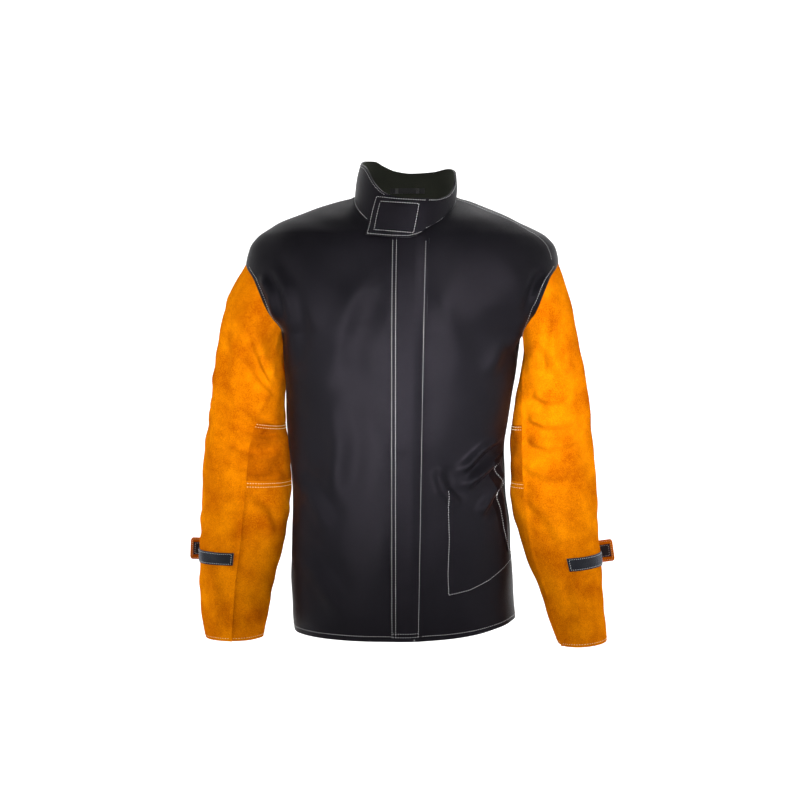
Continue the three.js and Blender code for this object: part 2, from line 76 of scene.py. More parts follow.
def profile(pairs):
    """A smooth function through (at, value) pairs, with no overshoot; it takes numpy arrays."""
    at = np.array([p[0] for p in pairs], float)
    value = np.array([p[1] for p in pairs], float)
    rate = np.diff(value) / np.diff(at)
    slope = np.zeros(len(at))
    same = rate[:-1] * rate[1:] > 0
    total = np.where(same, rate[:-1] + rate[1:], 1)
    slope[1:-1] = np.where(same, 2 * rate[:-1] * rate[1:] / total, 0)

    def f(t):
        t = np.clip(np.asarray(t, float), at[0], at[-1])
        i = np.clip(np.searchsorted(at, t) - 1, 0, len(at) - 2)
        span = at[i + 1] - at[i]
        u = (t - at[i]) / span
        a, b, m0, m1 = value[i], value[i + 1], slope[i] * span, slope[i + 1] * span
        return a + u * (m0 + u * (3 * (b - a) - 2 * m0 - m1 + u * (m0 + m1 - 2 * (b - a))))

    return f


def smooth(a, b, x):
    t = np.clip((np.asarray(x, float) - a) / (b - a), 0, 1)
    return t * t * (3 - 2 * t)


def mix(a, b, t):
    return a + (b - a) * t


def boundary(low, high, is_outside):
    """Halves the space between two arrays until they close on where is_outside turns true."""
    for _ in range(40):
        middle = (low + high) / 2
        outside = is_outside(middle)
        high = np.where(outside, middle, high)
        low = np.where(outside, low, middle)
    return (low + high) / 2


WAVES = 14


def waves(seed, scale):
    """Soft noise in space, about -1 to 1, from a few waves of random direction."""
    rng = np.random.default_rng(seed)
    ways = rng.normal(size=(WAVES, 3))
    rates = rng.uniform(0.6, 1.6, WAVES) * 2 * math.pi / scale
    ways *= (rates / np.linalg.norm(ways, axis=1))[:, None]
    phase = rng.uniform(0, 2 * math.pi, WAVES)
    return lambda p: np.sin(p @ ways.T + phase).sum(axis=-1) / math.sqrt(WAVES)


# ---- The body's surface, in millimetres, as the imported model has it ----
HEM_Z, ARMPIT_Z, SEAM_Y = -674, -165, -8
HEM_RISE = 22  # by which the hem rises towards the left side seam
SIDE_SEAM = math.pi / 2  # turn is 0 at the centre front and this at the wearer's left side
NECK_X, NECK_HALF_WIDTH, NECK_HALF_DEPTH, NECK_Y, NECK_TOP = 6, 85, 88, -14, 66
# Half widths by height. The slope of the shoulders is the same on both sides.
SLOPE = [
    (-85, 270), (-60, 269), (-45, 268), (-20, 262), (0, 246), (17, 216), (27, 192), (38, 165),
    (48, 141),
]
half_right = profile([
    (-700, 184), (-640, 189), (-560, 189), (-437, 188), (-350, 195), (-250, 201),
    (-190, 201), (-165, 203), (-140, 228), (-110, 262), *SLOPE, (58, 109), (66, 81),
])
half_left = profile([
    (-700, 197), (-640, 194), (-560, 190), (-500, 186), (-437, 180), (-350, 177), (-280, 184),
    (-220, 194), (-165, 203), (-140, 228), (-110, 262), *SLOPE, (58, 116), (66, 92),
])
front_depth = profile([
    (-700, 134), (-560, 138), (-350, 141), (-165, 138), (-100, 131), (-45, 119),
    (0, 102), (20, 84), (35, 66), (50, 44), (60, 26), (66, 15),
])
back_depth = profile([
    (-700, 112), (-560, 114), (-350, 112), (-165, 120), (-100, 118), (-45, 111),
    (0, 101), (35, 90), (55, 80), (66, 74),
])
roundness = profile([(-700, 2.5), (-165, 2.6), (-45, 2.5), (20, 2.3), (66, 2)])
armhole_x = profile([(-165, 203), (-125, 225), (-75, 248), (-45, 268)])


def half_width(x, z):
    return np.where(np.asarray(x) < 0, half_right(z), half_left(z))


def turn_to(x, z):
    return np.arcsin(np.clip(x / half_width(x, z), -1, 1))


def plain_body(turn, z, back):
    turn, z = np.broadcast_arrays(np.asarray(turn, float), np.asarray(z, float))
    share = np.sin(np.abs(turn))
    x = np.where(turn < 0, -1, 1) * share * half_width(turn, z)
    n = roundness(z)
    depth = back_depth(z) - SEAM_Y if back else -front_depth(z) - SEAM_Y
    y = SEAM_Y + depth * np.maximum(0, 1 - share**n) ** (1 / n)
    outward, low = np.clip(x / 190, 0, 1), np.clip(1 - (z - HEM_Z) / 200, 0, 1)
    rise = HEM_RISE * outward**2 * low**2
    return np.stack([x, y, z + rise], -1)


def body_level(p):
    x, y, z = p[..., 0], p[..., 1], p[..., 2]
    n = roundness(z)
    depth = np.where(y < SEAM_Y, front_depth(z) + SEAM_Y, back_depth(z) - SEAM_Y)
    return np.abs(x / half_width(x, z)) ** n + np.abs((y - SEAM_Y) / depth) ** n


def unit(v):
    return v / np.maximum(np.linalg.norm(v, axis=-1, keepdims=True), 1e-12)


def plain_normal(p):
    steps = 0.5 * np.eye(3)
    return unit(np.stack([body_level(p + step) - body_level(p - step) for step in steps], -1))


# ---- Folds of the body cloth ----
# Each fold runs through points seen from the front: [(x, z), ...], width, height, and the face it
# is on, -1 for the front and 1 for the back.
FOLDS = [
    ([(-236, -62), (-214, -98), (-203, -150)], 9, 4.5, -1),
    ([(-222, -40), (-190, -90), (-178, -160), (-182, -240)], 13, 3.5, -1),
    ([(240, -50), (216, -100), (206, -150)], 9, -4.0, -1),
    ([(224, -118), (196, -150), (178, -205)], 10, 4.5, -1),
    ([(206, -140), (170, -178), (140, -240)], 12, 3.5, -1),
    ([(-110, -250), (-98, -340), (-108, -450)], 18, 3.0, -1),
    ([(62, -380), (76, -420), (104, -452)], 9, 4.5, -1),
    ([(176, -330), (140, -352), (96, -396)], 8, 6.0, -1),
    ([(178, -360), (150, -384), (104, -418)], 8, 6.5, -1),
    ([(178, -396), (158, -424), (128, -470)], 9, 5.5, -1),
    ([(-188, -400), (-150, -430), (-110, -500)], 14, 2.5, -1),
    ([(-186, -520), (-140, -560), (-90, -640)], 16, 2.5, -1),
    ([(60, -80), (92, -170), (100, -270)], 20, 2.5, -1),
    ([(-60, -60), (-96, -160), (-104, -250)], 20, 2.5, -1),
    ([(-210, -100), (-150, -130), (-90, -132)], 13, 4.0, 1),
    ([(210, -100), (150, -134), (86, -140)], 13, 4.0, 1),
    ([(-170, -200), (-110, -240), (-40, -250)], 15, 3.5, 1),
    ([(176, -330), (120, -350), (40, -346)], 12, 4.0, 1),
    ([(-182, -360), (-120, -392), (-40, -402)], 12, 4.0, 1),
    ([(-40, -420), (-52, -540), (-44, -660)], 20, 3.5, 1),
    ([(66, -400), (82, -530), (74, -670)], 20, 3.5, 1),
]
FOLD_STRENGTH, BROAD_LIFT, SMALL_LIFT = 1.7, 2.2, 0.7
broad_noise, small_noise = waves(3, 230), waves(8, 70)  # wavelengths in mm


def along(points, x, z):
    """Signed distance to a line of points and the share of its length, for arrays x and z."""
    best = np.full(x.shape, 1e9)
    side, share = np.zeros(x.shape), np.zeros(x.shape)
    steps = [math.dist(a, b) for a, b in zip(points, points[1:])]
    run, total = 0.0, sum(steps)
    for (ax, az), (bx, bz), length in zip(points, points[1:], steps):
        ux, uz = (bx - ax) / length, (bz - az) / length
        t = np.clip((x - ax) * ux + (z - az) * uz, 0, length)
        dx, dz = x - ax - ux * t, z - az - uz * t
        d = np.hypot(dx, dz)
        near = d < best
        best = np.where(near, d, best)
        side = np.where(near, np.sign(ux * dz - uz * dx), side)
        share = np.where(near, (run + t) / total, share)
        run += length
    return best * side, share


def body_folds(p):
    x, y, z = p[..., 0], p[..., 1], p[..., 2]
    lift = BROAD_LIFT * broad_noise(p) + SMALL_LIFT * small_noise(p)
    for points, width, height, face in FOLDS:
        d, share = along(points, x, z)
        ridge = np.exp(-((d / width) ** 2)) - 0.55 * np.exp(-(((d - 1.7 * width) / width) ** 2))
        ends = smooth(0, 0.25, share) * smooth(1, 0.7, share)
        lift = lift + FOLD_STRENGTH * height * ridge * ends * smooth(0, 30, face * (y - SEAM_Y))
    flat = smooth(14, 46, np.abs(x - 14)) * (y < SEAM_Y) + (y >= SEAM_Y)
    return lift * flat * smooth(70, 20, z) * mix(0.45, 1, smooth(-700, -640, z))


def body(turn, z, back, lift=0.0):
    p = plain_body(turn, z, back)
    n = plain_normal(p)
    return p + n * (body_folds(p) + lift)[..., None]


def outside_neck(p):
    x, y = (p[..., 0] - NECK_X) / NECK_HALF_WIDTH, (p[..., 1] - NECK_Y) / NECK_HALF_DEPTH
    return x**2 + y**2 > 1


def neck_turn(z, side):
    """Where a front panel meets the neck seam, on one side of the wearer."""
    z = np.asarray(z, float)
    centre = turn_to(NECK_X, z)
    share = boundary(
        np.zeros(z.shape), np.ones(z.shape),
        lambda t: outside_neck(plain_body(mix(centre, side * SIDE_SEAM, t), z, False)),
    )
    return np.where(z <= 0, centre, mix(centre, side * SIDE_SEAM, share))


def side_turn(side, z, inset=0.0):
    z = np.asarray(z, float)
    edge = np.minimum(SIDE_SEAM, np.abs(turn_to(side * (half_width(side, z) - inset), z)))
    armhole = np.minimum(edge, np.abs(turn_to(side * armhole_x(z), z)))
    return side * np.where((z <= ARMPIT_Z) | (z >= -45), edge, armhole)


# ---- Materials ----
def node_of(tree, kind, **values):
    node = tree.nodes.new("ShaderNode" + kind)
    for name, value in values.items():
        if hasattr(node, name):
            setattr(node, name, value)
        else:
            node.inputs[name.replace("_", " ")].default_value = value
    return node


def set_inputs(node, values):
    for name, value in values.items():
        node.inputs[name].default_value = value


def material(name, dark, light, rough, sheen, sheen_tint, grain, bump, weave=None, patch=9.0,
             gloss=0.15):
    """Cloth or leather: two colours mixed by soft patches and fine grain, with a raised grain."""
    made = bpy.data.materials.new(name)
    made.use_nodes = True
    tree = made.node_tree
    link = tree.links.new
    shader = tree.nodes["Principled BSDF"]
    set_inputs(shader, {
        "Sheen Weight": sheen, "Sheen Roughness": 0.45, "Sheen Tint": (*sheen_tint, 1),
        "Specular IOR Level": gloss,
    })
    place = node_of(tree, "TexCoord")
    big = node_of(tree, "TexNoise", Scale=patch, Detail=5.0, Roughness=0.6)
    fine = node_of(tree, "TexNoise", Scale=grain, Detail=3.0, Roughness=0.7)
    for texture in (big, fine):
        link(place.outputs["Object"], texture.inputs["Vector"])
    share = node_of(tree, "Math", operation="ADD")
    half = node_of(tree, "Math", operation="MULTIPLY")
    half.inputs[1].default_value = 0.5
    link(big.outputs["Fac"], share.inputs[0])
    link(fine.outputs["Fac"], share.inputs[1])
    link(share.outputs[0], half.inputs[0])
    ramp = node_of(tree, "ValToRGB")
    for stop, at, colour in zip(ramp.color_ramp.elements, (0.38, 0.62), (dark, light)):
        stop.position, stop.color = at, (*colour, 1)
    link(half.outputs[0], ramp.inputs["Fac"])
    link(ramp.outputs["Color"], shader.inputs["Base Color"])
    roughness = node_of(tree, "MapRange", clamp=True)
    set_inputs(roughness, {"To Min": rough - 0.08, "To Max": min(1.0, rough + 0.08)})
    link(big.outputs["Fac"], roughness.inputs["Value"])
    link(roughness.outputs["Result"], shader.inputs["Roughness"])
    height = fine.outputs["Fac"]
    if weave:
        turn, scale = weave
        mapping = node_of(tree, "Mapping")
        mapping.inputs["Rotation"].default_value = (0, math.radians(turn), 0)
        link(place.outputs["Object"], mapping.inputs["Vector"])
        line = node_of(tree, "TexWave", Scale=scale, Distortion=0.6, Detail=1.0)
        link(mapping.outputs["Vector"], line.inputs["Vector"])
        both = node_of(tree, "Math", operation="ADD")
        link(line.outputs["Fac"], both.inputs[0])
        link(fine.outputs["Fac"], both.inputs[1])
        height = both.outputs[0]
    raised = node_of(tree, "Bump", Strength=0.5, Distance=bump)
    link(height, raised.inputs["Height"])
    link(raised.outputs["Normal"], shader.inputs["Normal"])
    return made


COTTON = material(
    "cotton", (0.0022, 0.0022, 0.0029), (0.0046, 0.0043, 0.0058), 0.45, 0.003, (0.75, 0.66, 0.95),
    900, 0.00022, weave=(38, 420), patch=7, gloss=0.07,
)
set_inputs(COTTON.node_tree.nodes["Principled BSDF"], {"Specular Tint": (0.93, 0.83, 1.0, 1)})
LINING = material(
    "lining", (0.008, 0.009, 0.006), (0.016, 0.017, 0.012), 0.85, 0.12, (0.8, 0.85, 0.7), 1100, 0.0002,
)
LEATHER = material(
    "leather", (0.34, 0.064, 0.0005), (0.72, 0.215, 0.001), 0.9, 0.03, (1.0, 0.5, 0.05),
    620, 0.0012, patch=19, gloss=0.0,
)
# The elbow patch's leather is darker and redder than the rest: partly its own hide, partly painted
# shade of the inner arm beside the torso.
ELBOW_HIDE_AND_SHADE = material(
    "elbow_hide_and_painted_shade", (0.21, 0.037, 0.0005), (0.54, 0.135, 0.001), 0.9, 0.03, (1.0, 0.5, 0.05),
    560, 0.0014, patch=26, gloss=0.0,
)
HIDE_INSIDE = material(
    "hide_inside", (0.42, 0.17, 0.02), (0.62, 0.30, 0.05), 0.95, 0.2, (1.0, 0.8, 0.5), 500, 0.0007,
)
TAPE = material(
    "tape", (0.006, 0.007, 0.010), (0.022, 0.023, 0.030), 0.95, 0.3, (0.8, 0.85, 1.0), 1500, 0.0009,
)
WEBBING = material(
    "webbing", (0.008, 0.008, 0.008), (0.02, 0.02, 0.02), 0.85, 0.2, (0.9, 0.9, 0.9), 900, 0.0004,
    weave=(90, 500),
)
PALE_THREAD = material(
    "pale_thread", (0.40, 0.40, 0.40), (0.62, 0.62, 0.63), 0.6, 0.2, (1, 1, 1), 2500, 0.0002,
)
YELLOW_THREAD = material(
    "yellow_thread", (0.74, 0.56, 0.26), (0.88, 0.74, 0.42), 0.6, 0.2, (1, 1, 0.9), 2500, 0.0002,
)
SNAP_METAL = material(
    "snap_metal", (0.42, 0.41, 0.39), (0.60, 0.59, 0.56), 0.34, 0.0, (1, 1, 1), 300, 0.00005,
)
set_inputs(SNAP_METAL.node_tree.nodes["Principled BSDF"], {"Metallic": 1.0})

for name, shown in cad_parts.items():
    if name.startswith("snap_") or name == "hanger_loop":
        shown.data.materials.clear()
        shown.data.materials.append(WEBBING if name == "hanger_loop" else SNAP_METAL)


# ---- Building pieces ----
def mesh_object(name, verts, faces, finish):
    mesh = bpy.data.meshes.new(name)
    mesh.from_pydata(verts, [], faces)
    mesh.polygons.foreach_set("use_smooth", np.ones(len(faces), bool))
    mesh.materials.append(finish)
    made = bpy.data.objects.new(name, mesh)
    scene.collection.objects.link(made)
    return made


def normals_of(grid):
    across = np.gradient(grid, axis=1)
    up = np.gradient(grid, axis=0)
    return unit(np.cross(across, up))


def cloth_piece(name, outer, thickness, finish, normal, inside=None):
    """A closed sheet from a grid of outer points (rows, columns, 3) in millimetres."""
    rows, columns = outer.shape[:2]
    count = rows * columns
    verts = np.concatenate([outer.reshape(-1, 3), (outer - normal * thickness).reshape(-1, 3)]) * MM
    ids = np.arange(count).reshape(rows, columns)
    a, b, c, d = ids[:-1, :-1], ids[:-1, 1:], ids[1:, 1:], ids[1:, :-1]
    top = np.stack([a, b, c, d], -1).reshape(-1, 4)
    middle = (rows // 2, columns // 2)
    facing = np.cross(
        outer[middle[0], middle[1]] - outer[middle[0], middle[1] - 1],
        outer[middle[0], middle[1]] - outer[middle[0] - 1, middle[1]],
    ) @ normal[middle]
    if facing < 0:
        top = top[:, ::-1]
    under = top[:, ::-1] + count
    ring = np.concatenate([ids[0, :-1], ids[:-1, -1], ids[-1, :0:-1], ids[:0:-1, 0]])
    after = np.roll(ring, -1)
    rim = np.stack([ring, ring + count, after + count, after], -1)
    if facing < 0:
        rim = rim[:, ::-1]
    faces = np.concatenate([top, under, rim])
    made = mesh_object(name, verts.tolist(), faces.tolist(), finish)
    mesh = made.data
    if inside:
        mesh.materials.append(inside)
        slots = np.zeros(len(faces), np.int32)
        slots[len(top):len(top) + len(under)] = 1
        mesh.polygons.foreach_set("material_index", slots)
    # Each corner is shaded with the sheet's own normal, and the cut edge with its face's.
    flat = normal.reshape(-1, 3)
    mesh.update()
    rim_faces = range(len(top) + len(under), len(faces))
    rim_normals = np.array([mesh.polygons[i].normal for i in rim_faces])
    loops = np.concatenate([
        flat[top.ravel()], -flat[(under - count).ravel()], np.repeat(rim_normals, 4, axis=0),
    ])
    mesh.normals_split_custom_set(loops.tolist())
    return made


def hold(made, body_name, bend):
    if bend:
        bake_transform(made)
    else:
        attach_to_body(made, body_name)


def attach(made, body_name, replaced, bend=None):
    hold(made, body_name, bend)
    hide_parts(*replaced)


def stitches(name, lines, finish, body_name, bend=None, length=2.9, pitch=4.1, radius=0.42):
    """Rows of thread. Each line is (points, normals) in millimetres, lying on its cloth."""
    ring = [(math.cos(k * math.pi / 3), math.sin(k * math.pi / 3)) for k in range(6)]
    verts, faces = [], []
    for points, normals in lines:
        steps = np.linalg.norm(np.diff(points, axis=0), axis=1)
        run = np.concatenate([[0], np.cumsum(steps)])
        for start in np.arange(0.4, run[-1] - length, pitch):
            ends = []
            for at in (start, start + length / 2, start + length):
                p = np.array([np.interp(at, run, points[:, k]) for k in range(3)])
                n = unit(np.array([np.interp(at, run, normals[:, k]) for k in range(3)]))
                ends.append((p, n))
            way = unit(ends[2][0] - ends[0][0])
            base = len(verts)
            for (p, n), size, sink in zip(ends, (0.35, 1.0, 0.35), (-0.25, 0.25, -0.25)):
                side = np.cross(way, n)
                for c, s in ring:
                    verts.append((p + n * sink + (side * c + n * s * 0.8) * radius * size) * MM)
            for k in range(2):
                for j in range(6):
                    a, b = base + 6 * k + j, base + 6 * k + (j + 1) % 6
                    faces.append((a, b, b + 6, a + 6))
            faces.append(tuple(base + j for j in range(5, -1, -1)))
            faces.append(tuple(base + 12 + j for j in range(6)))
    made = mesh_object(name, [tuple(v) for v in verts], faces, finish)
    made.data.update()
    hold(made, body_name, bend)


def through(points, count):
    """Both numbers of a line drawn straight from point to point."""
    t = np.linspace(0, len(points) - 1, count)
    return [np.interp(t, range(len(points)), [p[k] for p in points]) for k in (0, 1)]


def body_line(points, count):
    """A line on the front's cloth through (x, z) points seen from the front."""
    x, z = through(points, count)
    return turn_line(turn_to(x, z), z, SEAM_LIFT)


def turn_line(turn, z, lift, back=False):
    """Points on the body's cloth and the normals there, by turn and height."""
    p = body(turn, z, back, lift)
    return p, plain_normal(plain_body(turn, z, back))


# ---- Body panels ----
FOLD_TOP_X, FOLD_HEM_X, FOLD_TOP_Z = 62, 118, 20
FOLD_LEAN = (FOLD_HEM_X - FOLD_TOP_X) / (FOLD_TOP_Z - HEM_Z)
FLAP_FREE_X, FLAP_TOP, FLAP_BOTTOM = -12, -5, -669


def fold_x(z):
    return FOLD_HEM_X - FOLD_LEAN * (z - HEM_Z)


def flap_seam_x(z):
    return mix(39, 50, (z - HEM_Z) / -HEM_Z)


FOLD_MIDDLE_Y, FOLD_MIDDLE_Z = -126.0, -340.0
STILL_SIDE, SWUNG_SIDE = 18, 17  # how far the bend's two ends lie from the fold
toward_flap = unit(np.array([-1.0, 0.0, -FOLD_LEAN]))
fold_middle = np.array([fold_x(FOLD_MIDDLE_Z), FOLD_MIDDLE_Y, FOLD_MIDDLE_Z])
FRONT_BEND = (
    "torso", "left_front_edge",
    tuple((fold_middle - toward_flap * STILL_SIDE) * MM),
    tuple((fold_middle + toward_flap * SWUNG_SIDE) * MM),
)
PANEL_ROWS = 260


def levels(bottom, top, count):
    """Rows of a panel, closer together where the shoulder slopes away."""
    t = np.linspace(0, 1, count)
    span = top - bottom
    return np.concatenate([bottom + span * t[:-1] ** 0.92, [top]])


def between(from_, to, z, columns):
    """The turn at each point of a grid between two lines given as turn by z, a column."""
    return mix(from_(z), to(z), np.linspace(0, 1, columns)[None, :])


def body_panel(name, from_, to, top, columns, body_name, replaced, back=False, bend=None):
    z = levels(HEM_Z, top, PANEL_ROWS)[:, None]
    turn = between(from_, to, z, columns)
    outer = body(turn, z, back)
    normal = normals_of(outer)
    base = plain_normal(plain_body(turn, z, back))
    normal = np.where((normal * base).sum(-1, keepdims=True) < 0, -normal, normal)
    weak = (normal * base).sum(-1, keepdims=True) < 0.5
    normal = np.where(weak, base, normal)
    made = cloth_piece(name, outer, COTTON_THICK, COTTON, normal, LINING)
    attach(made, body_name, replaced, bend)


def after_neck(x):
    return lambda z: np.maximum(turn_to(x(z), z), neck_turn(z, 1))


# How far the mouth of the pocket cuts in from the side seam, by height.
pocket_mouth = profile([(-552, 0), (-530, 9), (-492, 17), (-436, 21), (-376, 24), (-356, 0)])
RIGHT_EDGE_X, LEFT_EDGE_X, UNDER_FLAP = 27, 27.4, 20
body_panel(
    "right_front_cloth", lambda z: side_turn(-1, z),
    lambda z: np.where(z > 0, neck_turn(z, -1), turn_to(RIGHT_EDGE_X, z)), NECK_TOP - 1, 90,
    "torso", ["right_front_panel"],
)
body_panel(
    "left_front_cloth", after_neck(lambda z: np.maximum(LEFT_EDGE_X, flap_seam_x(z) - UNDER_FLAP)),
    lambda z: side_turn(1, z, pocket_mouth(z)), NECK_TOP - 1, 90, None,
    ["left_front_side_panel", "left_front_fold_panel", "left_front_edge_panel"], bend=FRONT_BEND,
)
body_panel(
    "back_cloth", lambda z: side_turn(-1, z), lambda z: side_turn(1, z), NECK_TOP, 150, "torso",
    ["back_panel"], back=True,
)

# ---- Facings, pocket bag and storm flap ----
def strip(name, from_, to, top, bottom, lift, thickness, body_name, replaced, columns=12, rows=150):
    z = np.linspace(bottom, top, rows)[:, None]
    turn = between(from_, to, z, columns)
    height = lift(np.linspace(0, 1, columns)[None, :], z) if callable(lift) else lift
    outer = body(turn, z, False, height)
    normal = plain_normal(plain_body(turn, z, False))
    made = cloth_piece(name, outer, thickness, COTTON, normal)
    attach(made, body_name, replaced)
    return made, outer


FACING_BOTTOM, FACING_LIFT, FACING_THICK = -664, -1.5, 1.1
right_facing = strip(
    "right_facing_cloth", lambda z: turn_to(-35, z), lambda z: turn_to(26, z),
    -12, FACING_BOTTOM, FACING_LIFT, FACING_THICK, "torso", ["right_front_facing"],
)
left_facing = strip(
    "left_facing_cloth", lambda z: turn_to(flap_seam_x(z) - 4, z),
    lambda z: turn_to(np.minimum(flap_seam_x(z) + 26, fold_x(z) - 20), z),
    -40, FACING_BOTTOM, FACING_LIFT, FACING_THICK, "left_front_edge", ["left_front_facing"],
)
POCKET_INNER_X, POCKET_BOTTOM, POCKET_TOP, POCKET_DEPTH = 72, -600, -350, 20


def pocket_lift(u, z):
    """Depth of the bag behind the front; its outer part lies flat behind the slanted mouth."""
    across = np.minimum(np.clip(u * 4, 0, 1), np.clip((0.86 - u) * 5, 0, 1))
    up = np.clip((z - POCKET_BOTTOM) / 30, 0, 1)
    return -2.1 - POCKET_DEPTH * np.sin(math.pi / 2 * np.minimum(across, up))


pocket_bag = strip(
    "pocket_bag_cloth", lambda z: turn_to(POCKET_INNER_X, z), lambda z: SIDE_SEAM + 0 * z,
    POCKET_TOP, POCKET_BOTTOM, pocket_lift, 1.0, "torso", ["pocket_bag"], columns=60, rows=90,
)

FLAP_BEND = ("left_front_edge", "storm_flap", (0.041, -0.1475, -0.35), (0.025, -0.1475, -0.35))
# Ripples of the flap's free edge: (z, half height, lift).
RIPPLES = [
    (-352, 11, 3.0), (-449, 15, 2.2), (-540, 22, 1.6), (-578, 12, 2.4), (-621, 13, 2.4),
    (-200, 30, 1.2),
]


def flap_lift(x, z):
    """Height of the flap's outer face above the front, from its free edge to its seam."""
    share = (x - FLAP_FREE_X) / (flap_seam_x(z) - FLAP_FREE_X)
    lift = mix(1.6, 6.3, smooth(1.0, 0.62, share))
    for level, width, height in RIPPLES:
        lift = lift + height * np.exp(-(((z - level) / width) ** 2)) * smooth(0.75, 0.0, share)
    return lift + 0.35 * np.sin(z / 17.0) * smooth(0.8, 0.1, share)


def flap_grid():
    z = np.linspace(FLAP_BOTTOM, FLAP_TOP, 240)[:, None]
    x = mix(FLAP_FREE_X, flap_seam_x(z), np.linspace(0, 1, 26)[None, :])
    return body(turn_to(x, z), z, False, flap_lift(x, z))


flap_points = flap_grid()
flap_normal = normals_of(flap_points)
flap_normal = np.where(flap_normal[..., 1:2] > 0, -flap_normal, flap_normal)
flap = cloth_piece("storm_flap_cloth", flap_points, DOUBLE_COTTON, COTTON, flap_normal)
attach(flap, None, ["storm_flap_margin", "storm_flap", "storm_flap_lining"], FLAP_BEND)


def flap_line(x_at):
    """A line down the flap, where x_at gives x by height."""
    z = np.linspace(FLAP_BOTTOM + 3, FLAP_TOP - 3, 240)
    x = x_at(z)
    return turn_line(turn_to(x, z), z, flap_lift(x, z))


def flap_end(z):
    """A line across the flap at one height."""
    x = np.linspace(FLAP_FREE_X + 3, flap_seam_x(z) - 3, 30)
    return turn_line(turn_to(x, z), z, flap_lift(x, z))


# ---- Collar ----
COLLAR_TOP = (13, 80, 80, -16)  # centre x, half width, half depth and centre y of the top edge
COLLAR_TUCK, COLLAR_LIFT = 1.5, 0.8  # below the neck seam, and out from it
collar_rim = profile([
    (-180, 109), (-158, 113), (-144, 120), (-128, 128), (-110, 127), (-90, 121), (-67, 115), (-42, 84),
    (-28, 70), (-8, 62), (12, 60), (34, 60), (54, 65), (72, 78), (90, 97), (108, 110), (128, 115),
    (150, 111), (180, 109),
])


def collar_base(turn):
    """Height of the neck seam, where the neck outline meets the body."""
    turn = np.asarray(turn, float)
    bx, by = NECK_X + NECK_HALF_WIDTH * np.sin(turn), NECK_Y - NECK_HALF_DEPTH * np.cos(turn)
    seam = boundary(
        np.full(turn.shape, -6.0), np.full(turn.shape, float(NECK_TOP)),
        lambda z: body_level(np.stack([bx, by, z], -1)) > 1,
    )
    return np.where(np.cos(turn) > 0, seam, NECK_TOP)


def collar(turn, share, lift):
    """Points on the collar by turn and share of its height, and the way out from them."""
    turn, share = np.broadcast_arrays(np.asarray(turn, float), np.asarray(share, float))
    s, c = np.sin(turn), np.cos(turn)
    base = collar_base(turn)
    x = mix(NECK_X + NECK_HALF_WIDTH * s, COLLAR_TOP[0] + COLLAR_TOP[1] * s, share)
    y = mix(NECK_Y - NECK_HALF_DEPTH * c, COLLAR_TOP[3] - COLLAR_TOP[2] * c, share)
    wave = 1.2 * np.sin(3 * turn + 0.7) * share + 0.7 * np.sin(7 * turn) * share
    bulge = 2.2 * np.sin(share * math.pi)
    p = np.stack([x, y, mix(base - COLLAR_TUCK, collar_rim(np.degrees(turn)), share)], -1)
    out = unit(np.stack([s, -c, 0.1 + 0 * s], -1))
    return p + out * (np.asarray(lift) + wave * np.sin(share * math.pi * 0.6) + bulge)[..., None], out


def collar_piece(name, from_, to, columns, lift, thickness, body_name, replaced, low=0.0, high=1.0,
                 finish=COTTON, bend=None, inside=None):
    turn = np.radians(np.linspace(from_, to, columns))[None, :]
    share = np.linspace(low, high, 30)[:, None]
    outer, normal = collar(turn, share, lift)
    made = cloth_piece(name, outer, thickness, finish, normal, inside)
    attach(made, body_name, replaced, bend)


def collar_line(from_, to, share):
    """A line round the collar's outer face, from turn to turn in degrees."""
    turn = np.radians(np.linspace(from_, to, 31))
    return collar(turn, np.full(turn.shape, share), COLLAR_LIFT + 0.1)


collar_piece(
    "right_collar_cloth", -180, 14, 130, COLLAR_LIFT, COLLAR_THICK, "torso",
    ["right_collar", "right_collar_lining"], inside=LINING,
)
COLLAR_SPLIT = 64  # past the fold, so only the part in front of it swings with the left front
collar_piece(
    "left_collar_cloth", 15, COLLAR_SPLIT, 50, COLLAR_LIFT, COLLAR_THICK, None,
    ["left_collar_front", "left_collar_front_lining", "left_collar_fold"], bend=FRONT_BEND,
    inside=LINING,
)
collar_piece(
    "left_collar_back_cloth", COLLAR_SPLIT, 180, 90, COLLAR_LIFT, COLLAR_THICK, "torso",
    ["left_collar_back", "left_collar_back_lining"], inside=LINING,
)
# The tab's root and the two corners of its free end, by turn.
TAB_TO, TAB_FREE_LOW, TAB_FREE_HIGH = math.radians(24), -0.707, -0.62
TAB_LIFT, TAB_ROOT_LIFT, TAB_HEIGHT, PAD_THICK = 6.0, 1.6, 66.0, 1.1
TAB_BEND = ("left_front_edge", "collar_tab", (0.038, -0.1085, 0.045), (0.026, -0.1085, 0.045))


def tab_bottom(turn):
    hanging = mix(0.0, -5.0, smooth(-0.7, 0.1, turn))
    return mix(hanging, collar_base(turn) - COLLAR_TUCK, smooth(0.1, TAB_TO, turn))


def tab_top(turn):
    return np.minimum(TAB_HEIGHT, collar_rim(np.degrees(turn)) - 1.5)


def tab_lift(turn):
    return mix(TAB_LIFT, TAB_ROOT_LIFT, smooth(0.17, TAB_TO, turn))


def on_tab(turn, z, lift=0.0):
    """A place on the tab's outer face, by turn and height; it stands clear of the front below."""
    base = collar_base(turn)
    share = (z - base + COLLAR_TUCK) / (collar_rim(np.degrees(turn)) - base + COLLAR_TUCK)
    p, out = collar(turn, share, tab_lift(turn) + lift)
    p[..., 1] -= 1.05 * np.maximum(0, base - z)
    return p, out


def tab_grid():
    up = np.linspace(0, 1, 34)[:, None]
    turn = mix(mix(TAB_FREE_LOW, TAB_FREE_HIGH, up), TAB_TO, np.linspace(0, 1, 60)[None, :])
    return on_tab(turn, mix(tab_bottom(turn), tab_top(turn), up))


